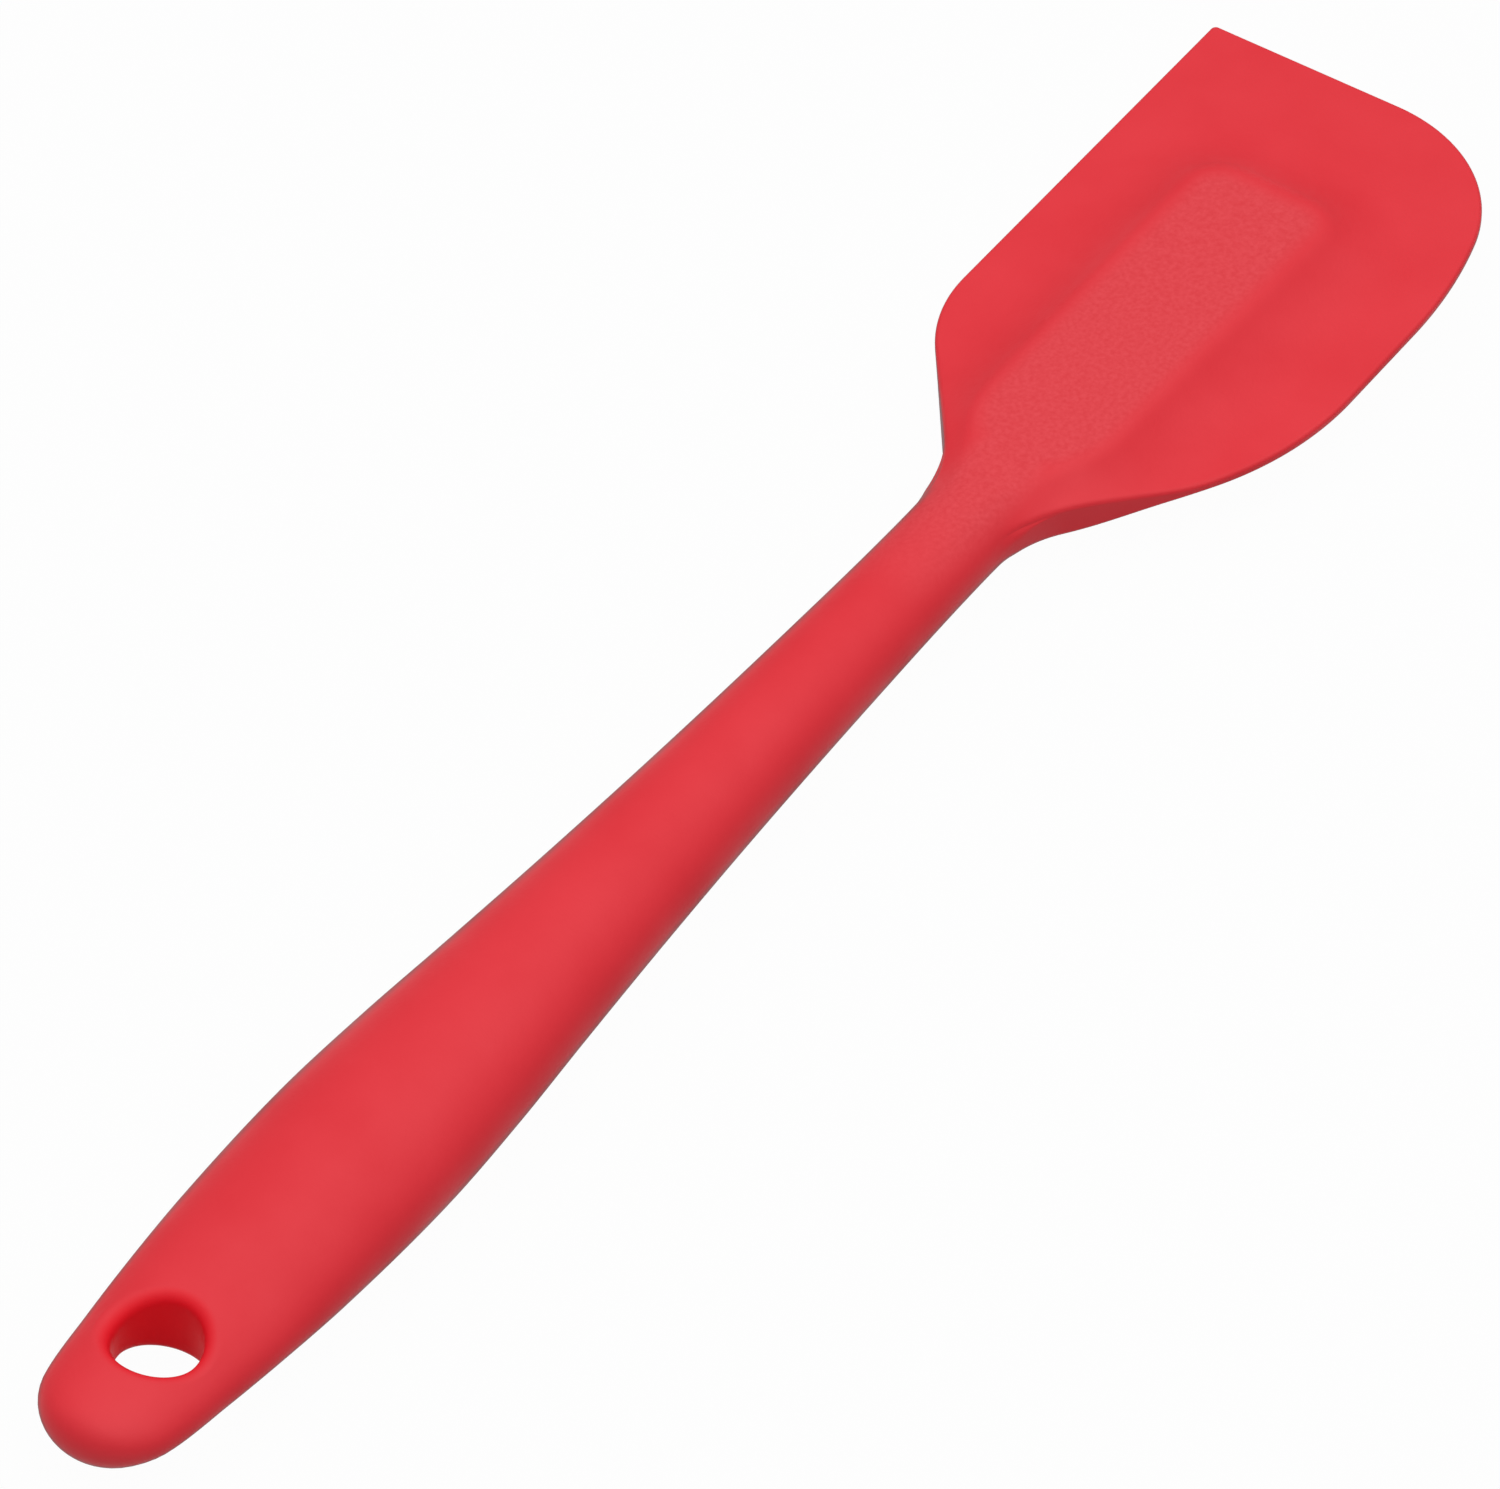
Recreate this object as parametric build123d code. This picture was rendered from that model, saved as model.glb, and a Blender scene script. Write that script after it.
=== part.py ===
from build123d import *
from math import radians, sqrt, tan
import os

# Silicone spatula, in millimetres. The origin is the middle of the hanging hole.
# +X runs along the handle to the blade, +Y to the blade's straight side, +Z along the hole.
# One seamless silicone skin is moulded over a nylon core, which holds a flat steel spine.

# Overall length, and the hanging hole's place in it
overall_length = 280.0
end_to_hole = 16.6
front_x = overall_length - end_to_hole

# Handle: flat ovals that swell behind the hole and draw in to the neck
hole_station_width = 21.0
hole_station_thickness = 9.6
swell_width = 25.4
swell_thickness = 15.6
swell_x = 40.0
neck_width = 13.4
neck_thickness = 10.2
neck_to_front = 105.4
neck_x = front_x - neck_to_front
tip_plan_radius = 9.4
tip_edge_radius = 3.8

# Raised flat panel in the middle of the blade, over the core's paddle
panel_width = 19.6
panel_front_margin = 25.8
panel_front_x = front_x - panel_front_margin
panel_straight_length = 50.6
panel_round_x = panel_front_x - panel_straight_length
panel_back_thickness = 9.2
panel_front_thickness = 8.0
panel_corner_radius = 4.6
panel_ramp_length = 12.0
cove_width = 11.6

# Blade outline: a straight front, one straight side and one round side
straight_side_y = 25.3
round_side_y = 27.3
lip_thickness = 1.4
rim_radius = 0.55
front_corner_radius = 0.8
round_corner_radius = 22.6
round_corner_start_y = 3.0
straight_shoulder_radius = 25.0
round_shoulder_radius = 46.0
neck_cove_radius = 20.0
straight_shoulder_to_front = 92.1
round_shoulder_to_front = 94.2
shoulder_sink = 0.8
shoulder_angle = 37.0
round_corner_turn = 75.0

# Hanging hole
hole_radius = 5.4
hole_rim_radius = 1.6

# Skin over the core, and lining of the hanging hole
skin_wall = 1.8
hole_lining = 1.2

# Windows and key holes through the core, which the skin's silicone fills
window_length = 13.0
window_width = 5.0
window_first_x = 24.0
window_pitch = 21.0
window_count = 3
key_hole_radius = 1.6
key_hole_spacing = 10.6
key_hole_margin = 11.0
key_hole_pitch = 13.0
key_hole_count = 3

# Steel spine inside the core, with punched holes that the nylon fills
spine_width = 6.0
spine_thickness = 1.5
spine_corner_radius = 1.2
spine_window_gap = 11.5
spine_front_margin = 8.6
spine_hole_radius = 1.5
spine_hole_count = 7

# Ovals that shape the handle: the turn of each one's side arcs, and the gaps between them
side_arc_turn = 60.0
first_ring_gap = 0.25
widest_ring_gap = 8.0

# Length of the cutting shapes past what they cut
overrun = 5.0

# Between the hole and the swell: share of the way, of the added width, of the added thickness
hole_side_shares = [(0.0, 0.0, 0.0), (0.25, 0.50, 0.20), (0.5, 0.80, 0.65), (1.0, 1.0, 1.0)]
# Between the swell and the neck: share of the way, of the width lost, of the thickness lost
neck_side_shares = [
    (0.13, 0.12, 0.07), (0.25, 0.31, 0.20), (0.42, 0.55, 0.41),
    (0.60, 0.75, 0.61), (0.81, 0.91, 0.85), (1.0, 1.0, 1.0),
]
# From the neck into the panel: share of the way, of the width gained, of the thickness lost
root_shares = [(0.3, 0.02, 0.0), (0.7, 0.30, 0.0), (1.1, 0.40, 0.2)]
# Shares of the tip's two radii over which its outlines are round, the last two of each
tip_round_shares = [0.6, 0.8]
# Share of the straight stretch before the round side that its slow bow takes
bow_share = 0.96
# A face is upright where its normal's share along Z is under this
upright_share = 0.01


def cap_half(distance, radius):
    # Half width of a round end at a distance from the end.
    return sqrt(2 * radius * distance - distance ** 2)


def smooth_through(points, place):
    # Height at a place on the smooth curve through points in order along X.
    slopes = [(b[1] - a[1]) / (b[0] - a[0]) for a, b in zip(points, points[1:])]
    index = sum(point[0] <= place for point in points) - 1
    index = max(0, min(len(slopes) - 1, index))
    before = slopes[max(0, index - 1)]
    after = slopes[min(len(slopes) - 1, index + 1)]
    start_slope = (before + slopes[index]) / 2
    end_slope = (slopes[index] + after) / 2
    gap = points[index + 1][0] - points[index][0]
    way = (place - points[index][0]) / gap
    from_start = points[index][1] * (1 + 2 * way) + gap * start_slope * way
    from_end = points[index + 1][1] * (3 - 2 * way) - gap * end_slope * (1 - way)
    return from_start * (1 - way) ** 2 + from_end * way ** 2


def handle_stations(inset):
    # The handle's half widths and half thicknesses along X, drawn in by an inset.
    widths = []
    thicknesses = []
    for share in tip_round_shares:
        for halves, radius in ((widths, tip_plan_radius - inset), (thicknesses, tip_edge_radius - inset)):
            distance = share * radius
            halves.append((inset - end_to_hole + distance, cap_half(distance, radius)))
    for way, widen, thicken in hole_side_shares:
        width = hole_station_width + widen * (swell_width - hole_station_width)
        thickness = hole_station_thickness + thicken * (swell_thickness - hole_station_thickness)
        widths.append((way * swell_x, width / 2 - inset))
        thicknesses.append((way * swell_x, thickness / 2 - inset))
    for way, narrow, thin in neck_side_shares:
        place = swell_x + way * (neck_x - swell_x)
        widths.append((place, (swell_width - narrow * (swell_width - neck_width)) / 2 - inset))
        thicknesses.append((place, (swell_thickness - thin * (swell_thickness - neck_thickness)) / 2 - inset))
    for way, widen, thin in root_shares:
        place = neck_x + way * (panel_round_x - neck_x)
        widths.append((place, (neck_width + widen * (panel_width - neck_width)) / 2 - inset))
        thicknesses.append((place, neck_thickness / 2 * (1 - thin) - inset))
    return widths, thicknesses


def half_size(stations, radius, tip_x, place):
    # Half size of the handle at a place: a round end, then the smooth curve.
    if place <= stations[1][0]:
        return cap_half(place - tip_x, radius)
    return smooth_through(stations, place)


def oval(half_width, half_thickness):
    # Flat oval of two side arcs and two wide arcs, whose joins lie on the flanks, clear of the holes.
    flat_turn = 180 - side_arc_turn
    starts = [-side_arc_turn / 2, side_arc_turn / 2, 180 - side_arc_turn / 2, 180 + side_arc_turn / 2]
    turns = [side_arc_turn, flat_turn, side_arc_turn, flat_turn]
    return make_face([
        EllipticalCenterArc((0, 0), half_width, half_thickness, start, arc_size=turn)
        for start, turn in zip(starts, turns)
    ])


def handle_bar(inset):
    # Solid handle from its tip into the panel, through ovals that draw apart along X.
    widths, thicknesses = handle_stations(inset)
    tip_x = inset - end_to_hole
    end_x = widths[-1][0]
    faces = [Vertex(tip_x, 0, 0)]
    place = tip_x + first_ring_gap
    gap = first_ring_gap
    while place < end_x:
        half_width = half_size(widths, tip_plan_radius - inset, tip_x, place)
        half_thickness = half_size(thicknesses, tip_edge_radius - inset, tip_x, place)
        section = Plane(origin=(place, 0, 0), x_dir=(0, 1, 0), z_dir=(1, 0, 0))
        faces.append(section * oval(half_width, half_thickness))
        gap = min(gap + 2 * first_ring_gap, widest_ring_gap)
        place += gap
    return loft(faces)


def panel_loop(inset):
    # Top view of the raised panel, drawn in by an inset: flat front, round back.
    half = panel_width / 2 - inset
    corner = panel_corner_radius - inset
    front = panel_front_x - inset
    side_y = half - corner
    corner_x = front - corner
    return Wire([
        Line((front, 0), (front, side_y)),
        CenterArc((corner_x, side_y), corner, 0, 90),
        Line((corner_x, half), (panel_round_x, half)),
        CenterArc((panel_round_x, 0), half, 90, 180),
        Line((panel_round_x, -half), (corner_x, -half)),
        CenterArc((corner_x, -side_y), corner, -90, 90),
        Line((front, -side_y), (front, 0)),
    ])


def blade_outline():
    # Top view of the blade, from its root inside the neck.
    root_y = neck_width / 2 - shoulder_sink
    back_x = neck_x + shoulder_sink
    slope = tan(radians(shoulder_angle))
    straight_root_x = front_x - straight_shoulder_to_front
    round_root_x = front_x - round_shoulder_to_front
    straight_x = straight_root_x + (straight_side_y - root_y) / slope
    round_x = round_root_x + (round_side_y - root_y) / slope
    corner_reach = round_corner_radius * tan(radians(round_corner_turn / 2))
    corner_y = round_corner_start_y + corner_reach
    bow_turn = 90 - round_corner_turn
    bow_length = (round_side_y - corner_y) / tan(radians(bow_turn))
    bow_reach = bow_share * (sqrt(bow_length ** 2 + (round_side_y - corner_y) ** 2) - corner_reach)
    corners = [
        (back_x, root_y), (straight_root_x, root_y), (straight_x, straight_side_y),
        (front_x, straight_side_y), (front_x, -corner_y), (front_x - bow_length, -round_side_y),
        (round_x, -round_side_y), (round_root_x, -root_y), (back_x, -root_y),
    ]
    radii = [
        neck_cove_radius, straight_shoulder_radius, front_corner_radius, round_corner_radius,
        bow_reach / tan(radians(bow_turn / 2)), round_shoulder_radius, neck_cove_radius,
    ]
    edge = FilletPolyline(*corners, radius=radii)
    return make_face(edge + Line(corners[-1], corners[0]))


def panel_and_lip():
    # Panel, the cove round it and the thin lip, all cut to the blade's outline.
    lip_half = lip_thickness / 2
    middle_half = (panel_back_thickness + panel_front_thickness) / 4
    rise = middle_half - lip_half
    cove_radius = (cove_width ** 2 + rise ** 2) / (2 * rise)
    crest = panel_back_thickness / 2 + lip_half
    crest_out = cove_width - sqrt(cove_radius ** 2 - (cove_radius - crest + lip_half) ** 2)
    inner = -panel_corner_radius * tip_round_shares[1]
    reach = front_x - panel_front_x + overrun
    profile = make_face([
        Line((inner, -crest), (inner, crest)),
        Line((inner, crest), (crest_out, crest)),
        RadiusArc((crest_out, crest), (cove_width, lip_half), -cove_radius),
        Line((cove_width, lip_half), (reach, lip_half)),
        Line((reach, lip_half), (reach, -lip_half)),
        Line((reach, -lip_half), (cove_width, -lip_half)),
        RadiusArc((cove_width, -lip_half), (crest_out, -crest), -cove_radius),
        Line((crest_out, -crest), (inner, -crest)),
    ])
    start = Plane(origin=(panel_front_x, 0, 0), x_dir=(1, 0, 0), z_dir=(0, -1, 0))
    loop = panel_loop(0)
    ring = sweep(start * profile, path=loop)
    middle = extrude(make_face(panel_loop(-(inner + crest_out) / 2)), amount=crest, both=True)
    outline = extrude(blade_outline(), amount=crest + overrun, both=True)
    plate = (ring + middle) & outline
    walls = plate.faces().filter_by(lambda face: abs(face.normal_at().Z) < upright_share)
    rims = ShapeList([edge for wall in walls for edge in wall.edges().filter_by(Axis.Z, reverse=True)])
    return fillet(rims, rim_radius)


def side_wedge():
    # Side view that planes the neck's crown down into the panel's two flat faces.
    back = panel_back_thickness / 2
    panel_back_x = panel_round_x - panel_width / 2
    slope = (back - panel_front_thickness / 2) / (panel_front_x - panel_back_x)
    ramp_x = panel_back_x - panel_ramp_length
    end_x = front_x + overrun
    top = [
        (-end_to_hole - overrun, swell_thickness), (ramp_x, swell_thickness),
        (ramp_x, neck_thickness / 2 + lip_thickness), (panel_back_x, back),
        (end_x, back - slope * (end_x - panel_back_x)),
    ]
    bottom = [(place, -height) for place, height in reversed(top)]
    outline = Plane.XZ * make_face(Polyline(*top, *bottom, close=True))
    return extrude(outline, amount=round_side_y + overrun, both=True)


def outer_body():
    # The whole outside of the spatula as one solid, with the hanging hole and its soft rims.
    body = (handle_bar(0) + panel_and_lip()) & side_wedge()
    body -= Cylinder(hole_radius, swell_thickness)
    over_hole = Solid.make_cylinder(hole_radius / 2, swell_thickness, Plane.XY.offset(-swell_thickness / 2))
    rims = body.edges().filter_by(lambda edge: over_hole.is_inside(edge.center(CenterOf.MASS)))
    return fillet(rims, hole_rim_radius)


def core_body():
    # Solid shape of the nylon core, before the spine is bedded in it.
    paddle_half = panel_front_thickness / 2 - skin_wall
    paddle = extrude(make_face(panel_loop(skin_wall)), amount=paddle_half, both=True)
    core = handle_bar(skin_wall) + paddle
    core -= Cylinder(hole_radius + hole_lining, swell_thickness)
    for index in range(window_count):
        place = window_first_x + index * window_pitch
        slot = extrude(SlotOverall(window_length, window_width), amount=swell_thickness, both=True)
        core -= Pos(place, 0, 0) * slot
    for index in range(key_hole_count):
        place = panel_round_x + key_hole_margin + index * key_hole_pitch
        for side in (-1, 1):
            hole = Cylinder(key_hole_radius, swell_thickness)
            core -= Pos(place, side * key_hole_spacing / 2, 0) * hole
    return core


def steel_spine():
    # Flat punched strip through the handle core, the neck and the paddle.
    last_window_x = window_first_x + (window_count - 1) * window_pitch
    back_x = last_window_x + window_length / 2 + spine_window_gap
    front = panel_front_x - spine_front_margin
    length = front - back_x
    middle_x = (front + back_x) / 2
    strip = Box(length, spine_width, spine_thickness)
    strip = fillet(strip.edges().filter_by(Axis.Z), spine_corner_radius)
    pitch = length / spine_hole_count
    for index in range(spine_hole_count):
        place = (index + 0.5) * pitch - length / 2
        strip -= Pos(place, 0, 0) * Cylinder(spine_hole_radius, spine_width)
    return Pos(middle_x, 0, 0) * strip


def save_node(name, shape):
    # Write one node's file.
    shape.label = name
    export_step(shape, os.path.join("parts", name + ".step"))


os.makedirs("parts", exist_ok=True)
core = core_body()
spine = steel_spine()
save_node("silicone_cover", outer_body() - core)
save_node("nylon_core", core - spine)
save_node("steel_spine", spine)
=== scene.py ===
from math import atan2, cos, pi, radians, sin, sqrt, tan

import bpy
import numpy as np
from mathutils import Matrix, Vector


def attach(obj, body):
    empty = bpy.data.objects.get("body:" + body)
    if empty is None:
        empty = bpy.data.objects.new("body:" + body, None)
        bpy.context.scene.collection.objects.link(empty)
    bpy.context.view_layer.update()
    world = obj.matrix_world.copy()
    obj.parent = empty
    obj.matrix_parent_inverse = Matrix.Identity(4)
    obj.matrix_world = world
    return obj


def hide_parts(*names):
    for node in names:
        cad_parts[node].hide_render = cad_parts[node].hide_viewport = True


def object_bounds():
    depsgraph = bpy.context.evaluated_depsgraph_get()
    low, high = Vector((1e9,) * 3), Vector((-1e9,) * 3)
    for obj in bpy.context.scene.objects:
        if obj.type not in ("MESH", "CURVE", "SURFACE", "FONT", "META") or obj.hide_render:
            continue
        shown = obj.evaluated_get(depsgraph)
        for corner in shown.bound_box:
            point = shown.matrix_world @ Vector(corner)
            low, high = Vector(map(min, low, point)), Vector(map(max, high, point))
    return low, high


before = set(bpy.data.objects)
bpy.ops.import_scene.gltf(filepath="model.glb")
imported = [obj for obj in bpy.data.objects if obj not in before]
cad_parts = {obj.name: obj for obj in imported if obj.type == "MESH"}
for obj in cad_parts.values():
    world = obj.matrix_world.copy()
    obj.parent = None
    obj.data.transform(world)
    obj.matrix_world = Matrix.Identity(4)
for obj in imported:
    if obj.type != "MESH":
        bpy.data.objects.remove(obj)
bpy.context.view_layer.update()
print("frame loaded: the spatula's solids are in")

mm = 0.001  # the shapes below are in millimetres, Blender's own unit is the metre
farAway = 1e6
tiny = 1e-9


# the shape of the silicone skin

handleShape = {
    "tipX": -16.6,
    "tipPlanRadius": 9.4,
    "tipEdgeRadius": 3.8,
    "roundShares": (0.6, 0.8),
    # place along the handle, half width, half thickness
    "stations": [
        (0.0, 10.5, 4.8), (10.0, 11.6, 5.4), (20.0, 12.26, 6.75), (40.0, 12.7, 7.785),
        (55.3, 11.98, 7.61), (69.5, 10.84, 7.26), (89.6, 9.4, 6.69), (110.8, 8.2, 6.15),
        (135.6, 7.24, 5.5), (158.0, 6.7, 5.1), (166.7, 6.76, 5.1), (178.3, 7.63, 5.1),
        (189.9, 7.94, 4.08),
    ],
}

neckShape = {
    "blend": 2.4,
    "frostStart": 146.0,
    "frostLength": 18.0,
    "frostHalf": 6.0,
    "fadeStart": 168.0,
    "fadeLength": 8.0,
    "heightLimit": 9.0,
    "widthLimit": 30.0,
    "widthSamples": 3001,
    "halvings": 20,
}

bladeShape = {
    "frontX": 263.4,
    "rootX": 158.8,
    "rootY": 5.9,
    "straightShoulderX": 171.3,
    "roundShoulderX": 169.2,
    "shoulderAngle": 37.0,
    "straightSideY": 25.3,
    "roundSideY": 27.3,
    "neckCove": 20.0,
    "straightShoulder": 21.5,
    "roundShoulder": 46.0,
    "frontCorner": 0.8,
    "roundCorner": 22.6,
    "roundCornerStart": 3.0,
    "roundCornerTurn": 75.0,
    "bowShare": 0.96,
    "lipHalf": 0.7,
    "rim": 0.55,
    "arcSteps": 60,
}

panelShape = {
    "halfWidth": 9.8,
    "roundX": 187.0,
    "frontX": 237.6,
    "corner": 4.6,
    "backHalf": 4.6,
    "frontHalf": 4.0,
    "coveWidth": 11.6,
    "coveLimit": 0.95,
    "backStretch": 1.33,
    "flatBackX": 172.0,
    "rampSlope": 0.2,
    "borderBlend": 0.7,
    "frostFade": 2.4,
}

skinMesh = {
    "columns": 104,
    "handleGap": 1.1,
    "bladeGap": 0.6,
    "firstGap": 0.02,
    "growth": 1.3,
    "lengthPerColumn": 0.8,
    "turnPerColumn": 0.25,
    "samples": 1200,
    "stillStep": 1e-7,
    "leastStep": 1e-12,
    "meetingX": 4.0,
    "drift": 8,
    "mergeGap": 0.001,
    "mirrorGap": 0.002,
}

holeShape = {
    "radius": 5.4,
    "rimRadius": 1.6,
    "edgeRadius": 7.8,
    "openRadius": 8.5,
    "searchRadius": 17.0,
    "leastHeight": 1.0,
    "slopeStep": 0.2,
    "edgeMargin": 0.1,
    "sides": 96,
    "rimSteps": 8,
    "wallSteps": 4,
}


def smoothMin(a, b, width):
    near = np.clip(width - np.abs(a - b), 0, None) / width
    return np.minimum(a, b) - near ** 2 * width / 4


def smoothMax(a, b, width):
    return -smoothMin(-a, -b, width)


def capHalf(distance, radius):
    return sqrt(max(0.0, 2 * radius * distance - distance ** 2))


def smoothThrough(points, place):
    # the smooth curve through points in order along the handle
    slopes = [(b[1] - a[1]) / (b[0] - a[0]) for a, b in zip(points, points[1:])]
    index = max(0, min(len(slopes) - 1, sum(point[0] <= place for point in points) - 1))
    startSlope = (slopes[max(0, index - 1)] + slopes[index]) / 2
    endSlope = (slopes[index] + slopes[min(len(slopes) - 1, index + 1)]) / 2
    gap = points[index + 1][0] - points[index][0]
    way = (place - points[index][0]) / gap
    fromStart = points[index][1] * (1 + 2 * way) + gap * startSlope * way
    fromEnd = points[index + 1][1] * (3 - 2 * way) - gap * endSlope * (1 - way)
    return fromStart * (1 - way) ** 2 + fromEnd * way ** 2


def handleHalves(x):
    # half width and half thickness of the handle's oval at a place
    halves = []
    s = handleShape
    for column, radius in ((1, s["tipPlanRadius"]), (2, s["tipEdgeRadius"])):
        distances = [share * radius for share in s["roundShares"]]
        points = [(s["tipX"] + distance, capHalf(distance, radius)) for distance in distances]
        points += [(station[0], station[column]) for station in s["stations"]]
        if x <= points[1][0]:
            halves.append(capHalf(x - s["tipX"], radius))
        else:
            halves.append(smoothThrough(points, x))
    return halves


def roundedCorners(corners, radii):
    # the lines and arcs of an outline whose corners are rounded
    lines, arcs = [], []
    start = Vector(corners[0])
    for before, corner, after, radius in zip(corners, corners[1:], corners[2:], radii):
        point = Vector(corner)
        back = (Vector(before) - point).normalized()
        ahead = (Vector(after) - point).normalized()
        half = back.angle(ahead) / 2
        reach = radius / tan(half)
        centre = point + (back + ahead).normalized() * radius / sin(half)
        first, last = point + back * reach, point + ahead * reach
        lines.append((start, first))
        arcs.append((centre, radius, first, last))
        start = last
    lines.append((start, Vector(corners[-1])))
    return lines, arcs


def bladeEdge():
    # the blade's outline, seen from above
    s = bladeShape
    slope = tan(radians(s["shoulderAngle"]))
    straightX = s["straightShoulderX"] + (s["straightSideY"] - s["rootY"]) / slope
    roundX = s["roundShoulderX"] + (s["roundSideY"] - s["rootY"]) / slope
    cornerReach = s["roundCorner"] * tan(radians(s["roundCornerTurn"] / 2))
    cornerY = s["roundCornerStart"] + cornerReach
    bowTurn = radians(90 - s["roundCornerTurn"])
    bowRise = s["roundSideY"] - cornerY
    bowReach = s["bowShare"] * (bowRise / sin(bowTurn) - cornerReach)
    corners = [
        (s["rootX"], s["rootY"]), (s["straightShoulderX"], s["rootY"]), (straightX, s["straightSideY"]),
        (s["frontX"], s["straightSideY"]), (s["frontX"], -cornerY),
        (s["frontX"] - bowRise / tan(bowTurn), -s["roundSideY"]), (roundX, -s["roundSideY"]),
        (s["roundShoulderX"], -s["rootY"]), (s["rootX"], -s["rootY"]),
    ]
    radii = [
        s["neckCove"], s["straightShoulder"], s["frontCorner"], s["roundCorner"],
        bowReach / tan(bowTurn / 2), s["roundShoulder"], s["neckCove"],
    ]
    return roundedCorners(corners, radii)


edgeLines, edgeArcs = bladeEdge()


def sidePoints(side):
    # points along one side of the blade's outline, from the neck to the front
    points, steps = [], bladeShape["arcSteps"]
    for start, end in edgeLines:
        points += [start, end]
    for centre, radius, first, last in edgeArcs:
        a, b = first - centre, last - centre
        turn = a.angle(b)
        for index in range(steps + 1):
            share = index / steps
            mix = a * sin((1 - share) * turn) + b * sin(share * turn)
            points.append(centre + mix / sin(turn))
    chosen = sorted((p.x, abs(p.y)) for p in points if p.y * side > 0)
    return np.array(chosen).T


straightSide = sidePoints(1)
roundSide = sidePoints(-1)


def edgeDistance(x, y):
    # distance from points across the spatula to the blade's outline
    nearest = np.full(y.shape, farAway)
    for start, end in edgeLines:
        run = end - start
        share = np.clip(((x - start.x) * run.x + (y - start.y) * run.y) / run.length_squared, 0, 1)
        away = np.hypot(x - start.x - share * run.x, y - start.y - share * run.y)
        nearest = np.minimum(nearest, away)
    for centre, radius, first, last in edgeArcs:
        middle = (first + last) / 2 - centre
        inside = (x - centre.x) * middle.x + (y - centre.y) * middle.y
        length = np.hypot(x - centre.x, y - centre.y)
        within = inside >= length * middle.length ** 2 / radius
        away = np.where(within, np.abs(length - radius), farAway)
        nearest = np.minimum(nearest, away)
    return nearest


def panelDistance(x, y):
    # distance outside the panel's border, less than nothing on the panel
    s = panelShape
    if x < s["roundX"]:
        return np.hypot((x - s["roundX"]) / s["backStretch"], y) - s["halfWidth"]
    overX = x - (s["frontX"] - s["corner"])
    overY = np.abs(y) - (s["halfWidth"] - s["corner"])
    outside = np.hypot(np.clip(overX, 0, None), np.clip(overY, 0, None))
    return outside + np.minimum(np.maximum(overX, overY), 0) - s["corner"]


def planedHeight(x):
    # the panel's flat top, which runs back into the neck, and the ramp up to the neck's crown
    s = panelShape
    slope = (s["backHalf"] - s["frontHalf"]) / (s["frontX"] - s["roundX"] + s["halfWidth"])
    flat = s["frontHalf"] + slope * (s["frontX"] - max(x, s["flatBackX"]))
    return flat + s["rampSlope"] * max(0.0, s["flatBackX"] - x)


def bladeProfile(x, y):
    # the cove's height, whether a point is inside the outline, and its distance from the outline
    s = panelShape
    rise = (s["backHalf"] + s["frontHalf"]) / 2 - bladeShape["lipHalf"]
    coveRadius = (s["coveWidth"] ** 2 + rise ** 2) / (2 * rise)
    inward = np.clip(s["coveWidth"] - panelDistance(x, y), 0, s["coveLimit"] * coveRadius)
    height = bladeShape["lipHalf"] + coveRadius - np.sqrt(coveRadius ** 2 - inward ** 2)
    left = np.interp(x, *straightSide)
    right = np.interp(x, *roundSide)
    inside = (y < left) & (y > -right) & (x <= bladeShape["frontX"])
    return height, inside, edgeDistance(x, y)


def bladeHeight(profile):
    # the panel, the cove round it and the thin lip with its rounded rim
    height, _, away = profile
    rim = bladeShape["rim"]
    under = np.clip(rim - away, 0, rim)
    return height - rim + np.sqrt(rim ** 2 - under ** 2)


def handleDepth(x, y, z):
    # how deep a point lies in the handle's oval
    halfWidth, halfThickness = handleHalves(x)
    across, up = y / halfWidth, z / halfThickness
    reach = np.hypot(across, up) + tiny
    steepness = np.hypot(across / halfWidth, up / halfThickness) + tiny
    return (1 - reach) * reach / steepness


def bladeDepth(x, profile, z):
    # how deep a point lies in the blade, whose root fades out inside the neck
    height, inside, away = profile
    over = np.clip(z - height + bladeShape["rim"], 0, None)
    depth = np.where(inside, np.minimum(bladeHeight(profile) - z, away), -np.hypot(away, over))
    fade = min(1.0, max(0.0, (neckShape["fadeStart"] - x) / neckShape["fadeLength"]))
    return depth - neckShape["blend"] * fade


def neckDepth(x, y, profile, z):
    return smoothMax(handleDepth(x, y, z), bladeDepth(x, profile, z), neckShape["blend"])


def neckHeight(x, y, profile):
    # height of the blended neck and blade, closed in on by halves
    low = np.zeros(y.shape)
    high = np.full(y.shape, neckShape["heightLimit"])
    for halving in range(neckShape["halvings"]):
        middle = (low + high) / 2
        solid = neckDepth(x, y, profile, middle) > 0
        low = np.where(solid, middle, low)
        high = np.where(solid, high, middle)
    return low


def topHeight(x, y):
    # height of the skin's upper face over places across the spatula
    if x < bladeShape["rootX"]:
        halfWidth, halfThickness = handleHalves(x)
        return halfThickness * np.sqrt(np.clip(1 - (y / halfWidth) ** 2, 0, None))
    profile = bladeProfile(x, y)
    if x <= handleShape["stations"][-1][0]:
        height = neckHeight(x, y, profile)
    else:
        height = bladeHeight(profile)
    return smoothMin(height, planedHeight(x), panelShape["borderBlend"])


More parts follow.
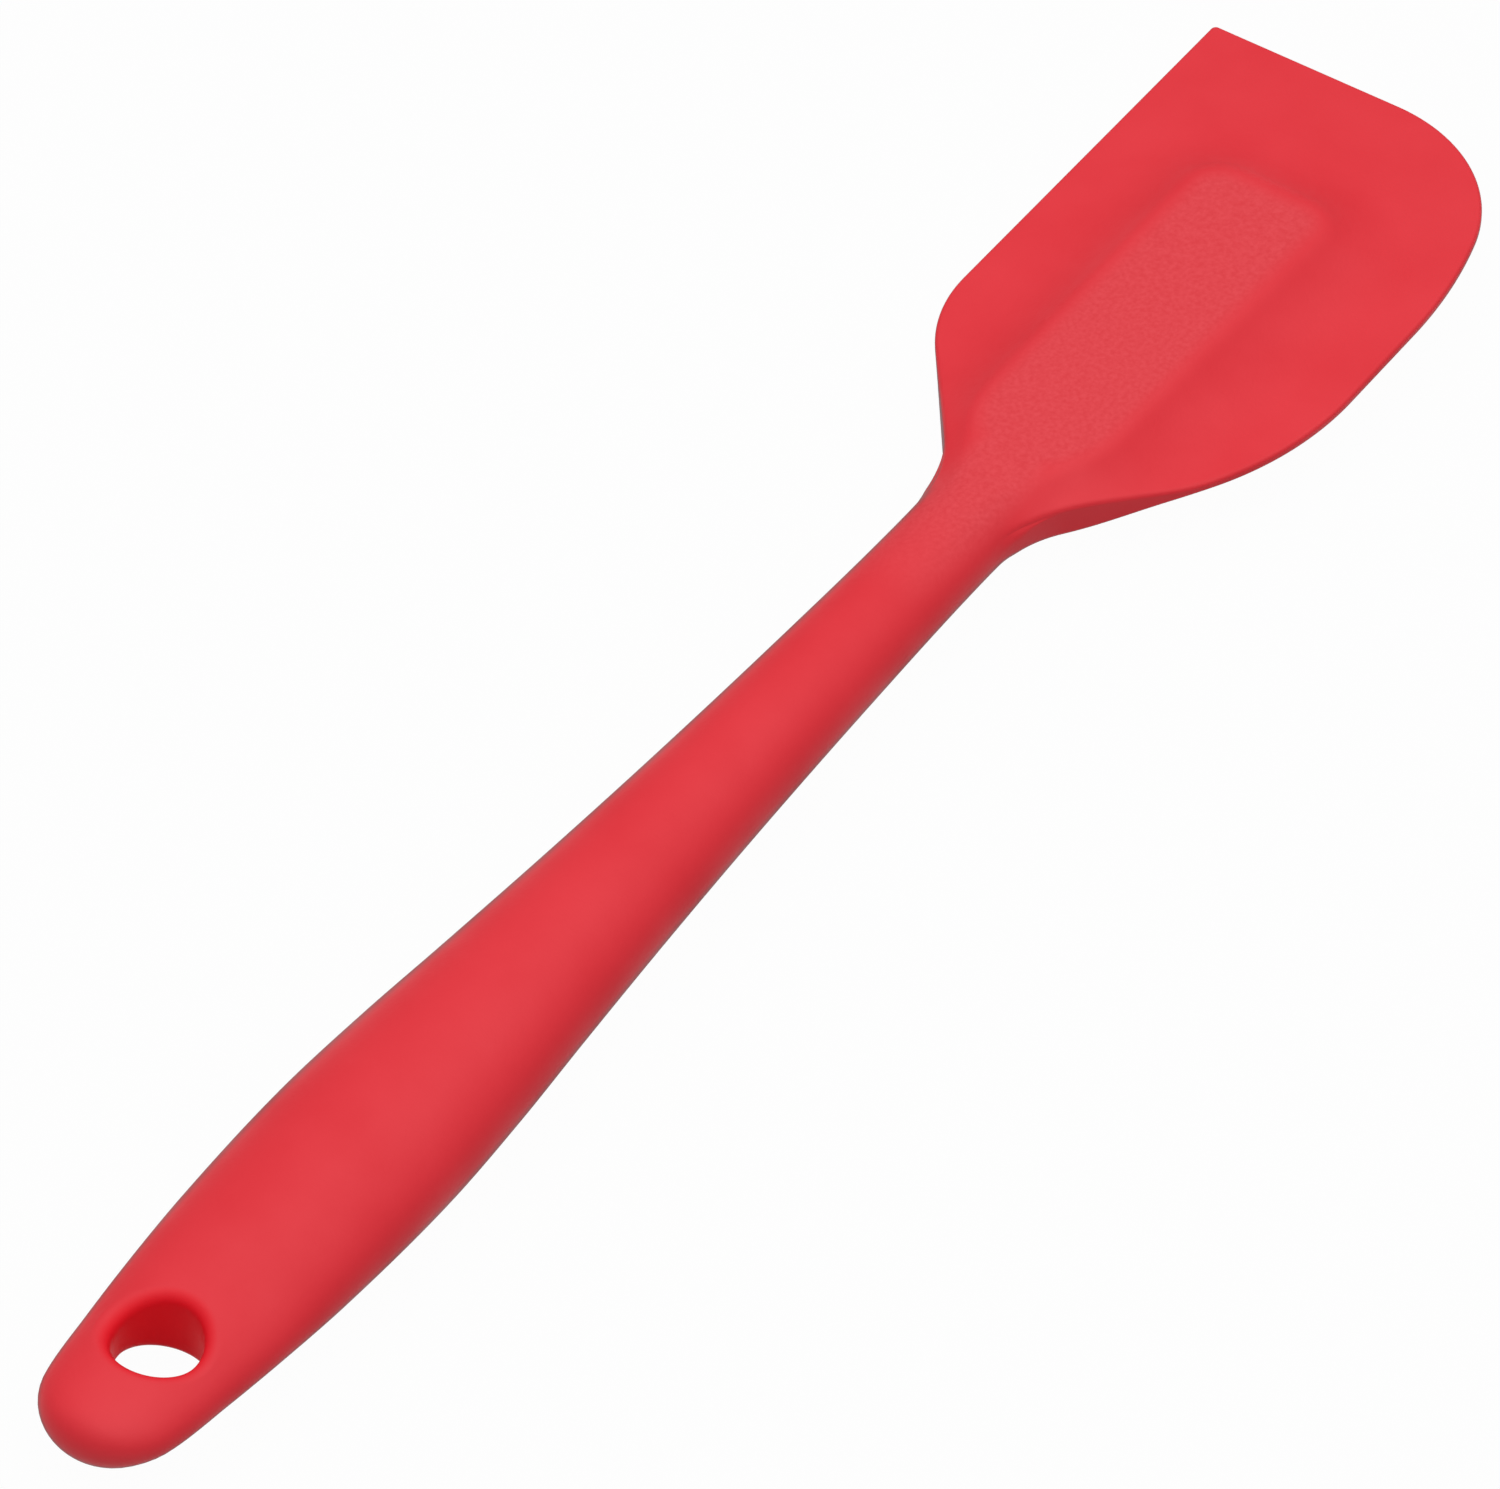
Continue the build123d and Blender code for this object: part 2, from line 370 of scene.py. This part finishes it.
def sectionSides(x):
    # how far the section at a place reaches to the round side and to the straight side
    if x < bladeShape["rootX"]:
        half = handleHalves(x)[0]
        return -half, half
    if x > handleShape["stations"][-1][0]:
        return -np.interp(x, *roundSide), np.interp(x, *straightSide)
    sides = []
    for side in (-1, 1):
        y = side * np.linspace(0, neckShape["widthLimit"], neckShape["widthSamples"])
        depth = neckDepth(x, y, bladeProfile(x, y), np.zeros(y.shape))
        outer = np.flatnonzero(depth > 0)[-1]
        share = depth[outer] / (depth[outer] - depth[outer + 1])
        sides.append(y[outer] + share * (y[outer + 1] - y[outer]))
    return sides


def sectionCurve(x):
    # one section over the top, from the middle of one edge to the middle of the other, with
    # the share of its length at each point and at each column
    right, left = sectionSides(x)
    turn = np.linspace(-pi / 2, pi / 2, skinMesh["samples"])
    y = (left + right) / 2 + (left - right) / 2 * np.sin(turn)
    z = np.clip(topHeight(x, y), 0, None)
    y = np.concatenate(([y[0]], y, [y[-1]]))
    z = np.concatenate(([0.0], z, [0.0]))
    stepY, stepZ = np.diff(y), np.diff(z)
    length = np.hypot(stepY, stepZ)
    direction = np.unwrap(np.arctan2(stepZ, stepY + skinMesh["leastStep"]))
    direction[length < skinMesh["stillStep"]] = np.nan
    known = ~np.isnan(direction)
    direction = np.interp(np.arange(len(direction)), np.flatnonzero(known), direction[known])
    bend = np.concatenate(([0.0], np.abs(np.diff(direction))))
    cost = length / skinMesh["lengthPerColumn"] + bend / skinMesh["turnPerColumn"]
    total = np.concatenate(([0.0], np.cumsum(cost)))
    along = np.concatenate(([0.0], np.cumsum(length))) / length.sum()
    wanted = np.linspace(0, total[-1], skinMesh["columns"] + 1)
    return y, z, along, np.interp(wanted, total, along)


def sectionRings(places):
    # the sections at their columns, whose places drift slowly from ring to ring
    curves = [sectionCurve(x) for x in places]
    half = skinMesh["drift"]
    weights = np.hanning(2 * half + 3)[1:-1]
    shares = np.pad([curve[3] for curve in curves], ((half, half), (0, 0)), mode="edge")
    rings = []
    for index, (x, curve) in enumerate(zip(places, curves)):
        y, z, along, _ = curve
        at = np.average(shares[index:index + 2 * half + 1], axis=0, weights=weights)
        rings.append(np.array([np.full(len(at), x), np.interp(at, along, y), np.interp(at, along, z)]))
    return rings


def growingPlaces(start, end, widest):
    # places from a start, close together at first
    places, gap = [start], skinMesh["firstGap"]
    direction = 1 if end > start else -1
    while (end - places[-1]) * direction > gap:
        places.append(places[-1] + direction * gap)
        gap = min(gap * skinMesh["growth"], widest)
    return places


def ringPlaces():
    # places of the rings along the spatula
    s = skinMesh
    meeting = bladeShape["rootX"] + s["meetingX"]
    handlePlaces = growingPlaces(handleShape["tipX"], meeting, s["handleGap"])
    bladePlaces = growingPlaces(bladeShape["frontX"], meeting + s["bladeGap"], s["bladeGap"])
    return handlePlaces + bladePlaces[::-1]


def pick(*pieces):
    # only these are selected, and the last one is the active one
    bpy.ops.object.select_all(action="DESELECT")
    for piece in pieces:
        piece.select_set(True)
        bpy.context.view_layer.objects.active = piece


def unpickMesh(mesh):
    for parts in (mesh.vertices, mesh.edges, mesh.polygons):
        for part in parts:
            part.select = False


def editMesh(piece):
    pick(piece)
    bpy.ops.object.mode_set(mode="EDIT")


def endEdit():
    bpy.ops.object.mode_set(mode="OBJECT")


def openEdges(mesh):
    # the edges with a face on one side only
    uses = np.zeros(len(mesh.edges), int)
    keys = {edge.key: edge.index for edge in mesh.edges}
    for face in mesh.polygons:
        for key in face.edge_keys:
            uses[keys[key]] += 1
    return [edge for edge in mesh.edges if uses[edge.index] == 1]


def makeSkin():
    # the upper half of the seamless skin: a grid whose rings are drawn to the spatula's sections
    places = ringPlaces()
    rings = sectionRings(places[1:])
    rings.insert(0, rings[0] * 0 + np.array([[places[0]], [0], [0]]))
    rings.append(rings[-1] * np.array([[1], [1], [0]]))
    shape = np.array(rings) * mm
    pick()
    ringCount, columns = len(rings) - 1, skinMesh["columns"]
    bpy.ops.mesh.primitive_grid_add(x_subdivisions=ringCount, y_subdivisions=columns, size=1)
    piece = bpy.context.object
    piece.name = "siliconeSkin"
    mesh = piece.data
    flat = np.empty(len(mesh.vertices) * 3)
    mesh.vertices.foreach_get("co", flat)
    flat = flat.reshape(-1, 3) + 0.5  # the grid is one wide, with its middle at the origin
    ring = np.rint(flat[:, 0] * ringCount).astype(int)
    column = np.rint(flat[:, 1] * columns).astype(int)
    mesh.vertices.foreach_set("co", shape[ring, :, column].ravel())
    mesh.update()
    print("skin drawn from", len(rings), "rings")
    return piece


def heightAt(x, y):
    return float(topHeight(x, np.array([y]))[0])


def openHole(piece):
    # the hanging hole: the faces over it go, and the opening's edge is drawn to a circle
    s = holeShape
    mesh = piece.data
    unpickMesh(mesh)
    for face in mesh.polygons:
        corners = [mesh.vertices[index] for index in face.vertices]
        if min(Vector(corner.co.xy).length for corner in corners) < s["openRadius"] * mm:
            face.select = True
            for corner in corners:
                corner.select = True
    editMesh(piece)
    bpy.ops.mesh.select_mode(type="FACE")
    bpy.ops.mesh.delete(type="FACE")
    endEdit()
    for edge in openEdges(mesh):
        for index in edge.vertices:
            co = mesh.vertices[index].co
            away = Vector(co.xy).length
            if away < s["searchRadius"] * mm and co.z > s["leastHeight"] * mm:
                x, y = co.x / away * s["openRadius"], co.y / away * s["openRadius"]
                mesh.vertices[index].co = Vector((x, y, heightAt(x, y))) * mm
    mesh.update()
    print("hanging hole opened")


def rimProfile(angle):
    # the hole's rim at an angle: from the handle's face, round the soft rim, down the wall
    s = holeShape
    centreRadius = s["radius"] + s["rimRadius"]
    step = s["slopeStep"]
    heights = [heightAt(r * cos(angle), r * sin(angle)) for r in (centreRadius, centreRadius + step)]
    slope = (heights[1] - heights[0]) / step
    centreHeight = heights[0] - s["rimRadius"] * sqrt(1 + slope ** 2)
    startTurn = atan2(1, -slope)
    x, y = s["edgeRadius"] * cos(angle), s["edgeRadius"] * sin(angle)
    profile = [(s["edgeRadius"], heightAt(x, y))]
    for index in range(s["rimSteps"] + 1):
        turn = startTurn + (pi - startTurn) * index / s["rimSteps"]
        radius = centreRadius + s["rimRadius"] * cos(turn)
        profile.append((radius, centreHeight + s["rimRadius"] * sin(turn)))
    for index in range(1, s["wallSteps"] + 1):
        profile.append((s["radius"], centreHeight * (1 - index / s["wallSteps"])))
    return profile


def makeHoleRim(piece):
    # rings from the handle's face down the hole, then the gap to the skin is bridged
    s = holeShape
    pick()
    bpy.ops.mesh.primitive_circle_add(vertices=s["sides"], radius=s["edgeRadius"] * mm)
    rim = bpy.context.object
    mesh = rim.data
    angles = [atan2(vertex.co.y, vertex.co.x) for vertex in mesh.vertices]
    profiles = [rimProfile(angle) for angle in angles]
    steps = len(profiles[0])
    editMesh(rim)
    for step in range(1, steps):
        bpy.ops.mesh.extrude_edges_move()
    endEdit()
    for index, vertex in enumerate(mesh.vertices):
        step, side = divmod(index, s["sides"])
        radius, height = profiles[side][step]
        vertex.co = Vector((radius * cos(angles[side]), radius * sin(angles[side]), height)) * mm
    pick(rim, piece)
    bpy.ops.object.join()
    mesh = piece.data
    unpickMesh(mesh)
    least, most = (s["edgeRadius"] - s["edgeMargin"]) * mm, (s["openRadius"] + s["edgeMargin"]) * mm
    for edge in openEdges(mesh):
        if all(least < Vector(mesh.vertices[index].co.xy).length < most for index in edge.vertices):
            edge.select = True
            for index in edge.vertices:
                mesh.vertices[index].select = True
    editMesh(piece)
    bpy.ops.mesh.select_mode(type="EDGE")
    bpy.ops.mesh.bridge_edge_loops()
    bpy.ops.mesh.select_all(action="SELECT")
    bpy.ops.mesh.remove_doubles(threshold=skinMesh["mergeGap"] * mm)
    endEdit()
    print("hole's rim bridged to the skin")


def closeSkin(piece):
    # the lower half is the upper one mirrored
    pick(piece)
    mirror = piece.modifiers.new("lowerHalf", "MIRROR")
    mirror.use_axis = (False, False, True)
    mirror.merge_threshold = skinMesh["mirrorGap"] * mm
    bpy.ops.object.modifier_apply(modifier=mirror.name)
    editMesh(piece)
    bpy.ops.mesh.select_all(action="SELECT")
    bpy.ops.mesh.remove_doubles(threshold=skinMesh["mergeGap"] * mm)
    bpy.ops.mesh.normals_make_consistent(inside=False)
    endEdit()
    bpy.ops.object.shade_smooth()
    print("skin closed:", len(piece.data.polygons), "faces,", len(openEdges(piece.data)), "open edges")


def markSkin(piece):
    # how frosted the skin is at each point, on the panel and the neck's crown, and where it
    # lines the hole, which is where a brighter, deeper red is painted in as light
    mesh = piece.data
    frost, lining = [], []
    for vertex in mesh.vertices:
        x, y = vertex.co.x / mm, vertex.co.y / mm
        inside = 0.0
        if panelShape["flatBackX"] < x < panelShape["frontX"]:
            inside = -panelDistance(x, np.array([y]))[0]
        onPanel = np.clip(inside / panelShape["frostFade"], 0, 1)
        onNeck = np.clip((x - neckShape["frostStart"]) / neckShape["frostLength"], 0, 1)
        onNeck *= np.clip((neckShape["frostHalf"] - abs(y)) / panelShape["frostFade"], 0, 1)
        frost.append(float(max(onPanel, onNeck * (x < panelShape["roundX"]))))
        out = (np.hypot(x, y) - holeShape["radius"]) / holeShape["rimRadius"]
        lining.append(float(np.clip(1 - out, 0, 1)))
    for name, values in (("frost", frost), ("lining", lining)):
        mesh.attributes.new(name, "FLOAT", "POINT").data.foreach_set("value", values)


# materials, with lengths in metres


def newMaterial(name):
    material = bpy.data.materials.new(name)
    material.use_nodes = True
    tree = material.node_tree
    shader = tree.nodes["Principled BSDF"]
    return material, tree, shader


def addNode(tree, kind, **settings):
    node = tree.nodes.new(kind)
    for name, value in settings.items():
        if name in node.inputs:
            node.inputs[name].default_value = value
        else:
            setattr(node, name, value)
    return node


def noiseFrom(tree, source, scale, detail):
    noise = addNode(tree, "ShaderNodeTexNoise", Scale=scale, Detail=detail)
    tree.links.new(source, noise.inputs["Vector"])
    return noise.outputs["Fac"]


def rangeFrom(tree, source, low, high, inLow=0.3, inHigh=0.7):
    spread = addNode(tree, "ShaderNodeMapRange")
    spread.inputs["From Min"].default_value = inLow
    spread.inputs["From Max"].default_value = inHigh
    spread.inputs["To Min"].default_value = low
    spread.inputs["To Max"].default_value = high
    tree.links.new(source, spread.inputs["Value"])
    return spread.outputs["Result"]


def bumpFrom(tree, shader, source, strength, height):
    bump = addNode(tree, "ShaderNodeBump", Strength=strength, Distance=height)
    tree.links.new(source, bump.inputs["Height"])
    tree.links.new(bump.outputs["Normal"], shader.inputs["Normal"])


def colourMix(tree, share, first, second):
    mix = addNode(tree, "ShaderNodeMix", data_type="RGBA")
    tree.links.new(share, mix.inputs[0])
    for socket, colour in ((mix.inputs[6], first), (mix.inputs[7], second)):
        if isinstance(colour, tuple):
            socket.default_value = (*colour, 1)
        else:
            tree.links.new(colour, socket)
    return mix.outputs[2]


siliconeFinish = {
    "red": (0.80, 0.028, 0.042),
    "deepRed": (0.77, 0.023, 0.036),
    # the frosted finish: a fine grain between two reds, whose paler tint is painted sheen for the haze
    # of light off the matte face
    "frostedSheenRed": (0.74, 0.040, 0.052),
    "frostedSheenPale": (0.79, 0.058, 0.072),
    # painted light: a brighter, deeper red on the hole's wall and soft rim
    "paintedHoleLight": (0.90, 0.012, 0.024),
    # painted shade: a dark red mixed in along the steep edges and flanks that are seen edge-on
    "paintedEdgeShade": (0.16, 0.004, 0.008),
    "edgeStart": 0.62,
    "edgeSlopes": (0.72, 0.9),
    "edgeBlend": 0.5,
    "cloudScale": 90.0,
    "cloudDetail": 3,
    "grainScale": 1600.0,
    "grainDetail": 2,
    "roughness": (0.46, 0.56),
    "frostedRoughness": 0.68,
    "shine": 0.32,
    "liningShine": 0.08,
    "grainStrength": 0.5,
    "grainHeight": 0.00004,
}


def siliconeMaterial():
    s = siliconeFinish
    material, tree, shader = newMaterial("redSilicone")
    place = addNode(tree, "ShaderNodeTexCoord").outputs["Object"]
    frost = addNode(tree, "ShaderNodeAttribute", attribute_name="frost").outputs["Fac"]
    cloud = noiseFrom(tree, place, s["cloudScale"], s["cloudDetail"])
    grain = noiseFrom(tree, place, s["grainScale"], s["grainDetail"])
    body = colourMix(tree, rangeFrom(tree, cloud, 0, 1), s["red"], s["deepRed"])
    # frosted panel: real grain mottling, in a paler tint that is painted sheen standing for the haze
    # off the matte face
    frosted = colourMix(tree, rangeFrom(tree, grain, 0, 1), s["frostedSheenRed"], s["frostedSheenPale"])
    colour = colourMix(tree, frost, body, frosted)
    # painted shade: a dark red is mixed in where the skin is seen edge-on and its face is steep,
    # standing for the shade along the edges and flanks
    facing = addNode(tree, "ShaderNodeLayerWeight", Blend=s["edgeBlend"]).outputs["Facing"]
    normal = addNode(tree, "ShaderNodeSeparateXYZ")
    tree.links.new(addNode(tree, "ShaderNodeTexCoord").outputs["Normal"], normal.inputs[0])
    upward = addNode(tree, "ShaderNodeMath", operation="ABSOLUTE")
    tree.links.new(normal.outputs["Z"], upward.inputs[0])
    edge = addNode(tree, "ShaderNodeMath", operation="MULTIPLY")
    tree.links.new(rangeFrom(tree, facing, 0, 1, s["edgeStart"], 1), edge.inputs[0])
    tree.links.new(rangeFrom(tree, upward.outputs[0], 1, 0, *s["edgeSlopes"]), edge.inputs[1])
    colour = colourMix(tree, edge.outputs[0], colour, s["paintedEdgeShade"])
    # painted light: the hole's wall and soft rim take a brighter, deeper red than the rest of the skin
    lining = addNode(tree, "ShaderNodeAttribute", attribute_name="lining").outputs["Fac"]
    colour = colourMix(tree, lining, colour, s["paintedHoleLight"])
    tree.links.new(colour, shader.inputs["Base Color"])
    satin = rangeFrom(tree, cloud, *s["roughness"])
    rough = addNode(tree, "ShaderNodeMix")
    tree.links.new(frost, rough.inputs[0])
    tree.links.new(satin, rough.inputs[2])
    rough.inputs[3].default_value = s["frostedRoughness"]
    tree.links.new(rough.outputs[0], shader.inputs["Roughness"])
    shine = rangeFrom(tree, lining, s["shine"], s["liningShine"], 0, 1)
    tree.links.new(shine, shader.inputs["Specular IOR Level"])
    bumpFrom(tree, shader, grain, s["grainStrength"], s["grainHeight"])
    return material


nylonFinish = {
    "pale": (0.72, 0.70, 0.64),
    "cloudy": (0.62, 0.60, 0.55),
    "fleckScale": 700.0,
    "fleckDetail": 4,
    "fleckStrength": 0.3,
    "fleckHeight": 0.00005,
    "roughness": (0.55, 0.7),
}


def nylonMaterial():
    s = nylonFinish
    material, tree, shader = newMaterial("glassFilledNylon")
    place = addNode(tree, "ShaderNodeTexCoord").outputs["Object"]
    fleck = noiseFrom(tree, place, s["fleckScale"], s["fleckDetail"])
    colour = colourMix(tree, rangeFrom(tree, fleck, 0, 1), s["pale"], s["cloudy"])
    tree.links.new(colour, shader.inputs["Base Color"])
    tree.links.new(rangeFrom(tree, fleck, *s["roughness"]), shader.inputs["Roughness"])
    bumpFrom(tree, shader, fleck, s["fleckStrength"], s["fleckHeight"])
    return material


steelFinish = {
    "bright": (0.62, 0.62, 0.63),
    "dull": (0.48, 0.48, 0.50),
    "lineScale": 900.0,
    "lineDetail": 3,
    "lineStretch": (0.02, 1, 1),
    "roughness": (0.28, 0.42),
}


def steelMaterial():
    s = steelFinish
    material, tree, shader = newMaterial("rolledSteel")
    shader.inputs["Metallic"].default_value = 1
    place = addNode(tree, "ShaderNodeTexCoord").outputs["Object"]
    stretch = addNode(tree, "ShaderNodeMapping")
    stretch.inputs["Scale"].default_value = s["lineStretch"]
    tree.links.new(place, stretch.inputs["Vector"])
    line = noiseFrom(tree, stretch.outputs["Vector"], s["lineScale"], s["lineDetail"])
    colour = colourMix(tree, rangeFrom(tree, line, 0, 1), s["bright"], s["dull"])
    tree.links.new(colour, shader.inputs["Base Color"])
    tree.links.new(rangeFrom(tree, line, *s["roughness"]), shader.inputs["Roughness"])
    return material


def dressNode(name, material):
    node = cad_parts[name]
    if not node.material_slots:
        node.data.materials.append(None)
    for slot in node.material_slots:
        slot.material = material


skin = makeSkin()
openHole(skin)
makeHoleRim(skin)
closeSkin(skin)
markSkin(skin)
skin.data.materials.append(siliconeMaterial())
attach(skin, "root")
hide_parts("silicone_cover")

dressNode("nylon_core", nylonMaterial())
dressNode("steel_spine", steelMaterial())
print("materials on")


# floor, light and camera, in metres

stageSetup = {
    "middleX": 0.12,
    "floorSize": 6.0,
    "floorGap": 0.0002,
    "floorColour": (0.45, 0.45, 0.45),
    "whiteShare": 0.975,
    "horizonLight": 0.05,
    "zenithLight": 0.84,
    "zenithRise": 0.8,
    "lampSize": 1.5,
    "lampPower": 6.6,
    "lampPlace": (0.15, -0.06, 1.2),
}


def makeFloor():
    s = stageSetup
    pick()
    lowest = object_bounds()[0].z
    place = (s["middleX"], 0, lowest - s["floorGap"])
    bpy.ops.mesh.primitive_plane_add(size=s["floorSize"], location=place)
    floor = bpy.context.object
    floor.name = "floor"
    material = bpy.data.materials.new("paleFloor")
    material.use_nodes = True
    tree = material.node_tree
    tree.nodes.clear()
    output = addNode(tree, "ShaderNodeOutputMaterial")
    matte = addNode(tree, "ShaderNodeBsdfDiffuse", Color=(*s["floorColour"], 1))
    white = addNode(tree, "ShaderNodeEmission", Color=(1, 1, 1, 1), Strength=1.0)
    path = addNode(tree, "ShaderNodeLightPath")
    share = addNode(tree, "ShaderNodeMath", operation="MULTIPLY")
    share.inputs[1].default_value = s["whiteShare"]
    seen = path.outputs["Is Camera Ray"]
    for kind in ("Is Glossy Ray", "Is Transmission Ray"):
        either = addNode(tree, "ShaderNodeMath", operation="MAXIMUM")
        tree.links.new(seen, either.inputs[0])
        tree.links.new(path.outputs[kind], either.inputs[1])
        seen = either.outputs[0]
    tree.links.new(seen, share.inputs[0])
    mix = addNode(tree, "ShaderNodeMixShader")
    tree.links.new(share.outputs[0], mix.inputs[0])
    tree.links.new(matte.outputs[0], mix.inputs[1])
    tree.links.new(white.outputs[0], mix.inputs[2])
    tree.links.new(mix.outputs[0], output.inputs["Surface"])
    floor.data.materials.append(material)


def makeWorld():
    s = stageSetup
    world = bpy.data.worlds.new("studio")
    bpy.context.scene.world = world
    world.use_nodes = True
    tree = world.node_tree
    tree.nodes.clear()
    output = addNode(tree, "ShaderNodeOutputWorld")
    soft = addNode(tree, "ShaderNodeBackground", Color=(1, 1, 1, 1))
    direction = addNode(tree, "ShaderNodeTexCoord").outputs["Generated"]
    parts = addNode(tree, "ShaderNodeSeparateXYZ")
    tree.links.new(direction, parts.inputs[0])
    light = rangeFrom(tree, parts.outputs["Z"], s["horizonLight"], s["zenithLight"], 0, s["zenithRise"])
    tree.links.new(light, soft.inputs["Strength"])
    white = addNode(tree, "ShaderNodeBackground", Color=(1, 1, 1, 1), Strength=1.0)
    path = addNode(tree, "ShaderNodeLightPath")
    mix = addNode(tree, "ShaderNodeMixShader")
    tree.links.new(path.outputs["Is Camera Ray"], mix.inputs[0])
    tree.links.new(soft.outputs[0], mix.inputs[1])
    tree.links.new(white.outputs[0], mix.inputs[2])
    tree.links.new(mix.outputs[0], output.inputs["Surface"])


def addHolder(name, data, place, target):
    # a lamp or camera at a place, turned to look at its target
    holder = bpy.data.objects.new(name, data)
    bpy.context.scene.collection.objects.link(holder)
    holder.location = place
    aim = Vector(target) - holder.location
    holder.rotation_euler = aim.to_track_quat("-Z", "Y").to_euler()
    return holder


def makeLamp():
    s = stageSetup
    lamp = bpy.data.lights.new("softbox", "AREA")
    lamp.size = s["lampSize"]
    lamp.energy = s["lampPower"]
    addHolder("softbox", lamp, s["lampPlace"], (s["middleX"], 0, 0))


cameraSetup = {
    "place": (-0.58655, -0.48407, 0.85676),
    "target": (0.11999, 0.00038, 0.00009),
    "lens": 240.0,
    "sensor": 36.0,
}


def makeCamera():
    s = cameraSetup
    camera = bpy.data.cameras.new("camera")
    camera.lens = s["lens"]
    camera.sensor_width = s["sensor"]
    bpy.context.scene.camera = addHolder("camera", camera, s["place"], s["target"])


makeFloor()
makeWorld()
makeLamp()
makeCamera()
bpy.context.scene.view_settings.view_transform = "Standard"
print("floor, light and camera set")
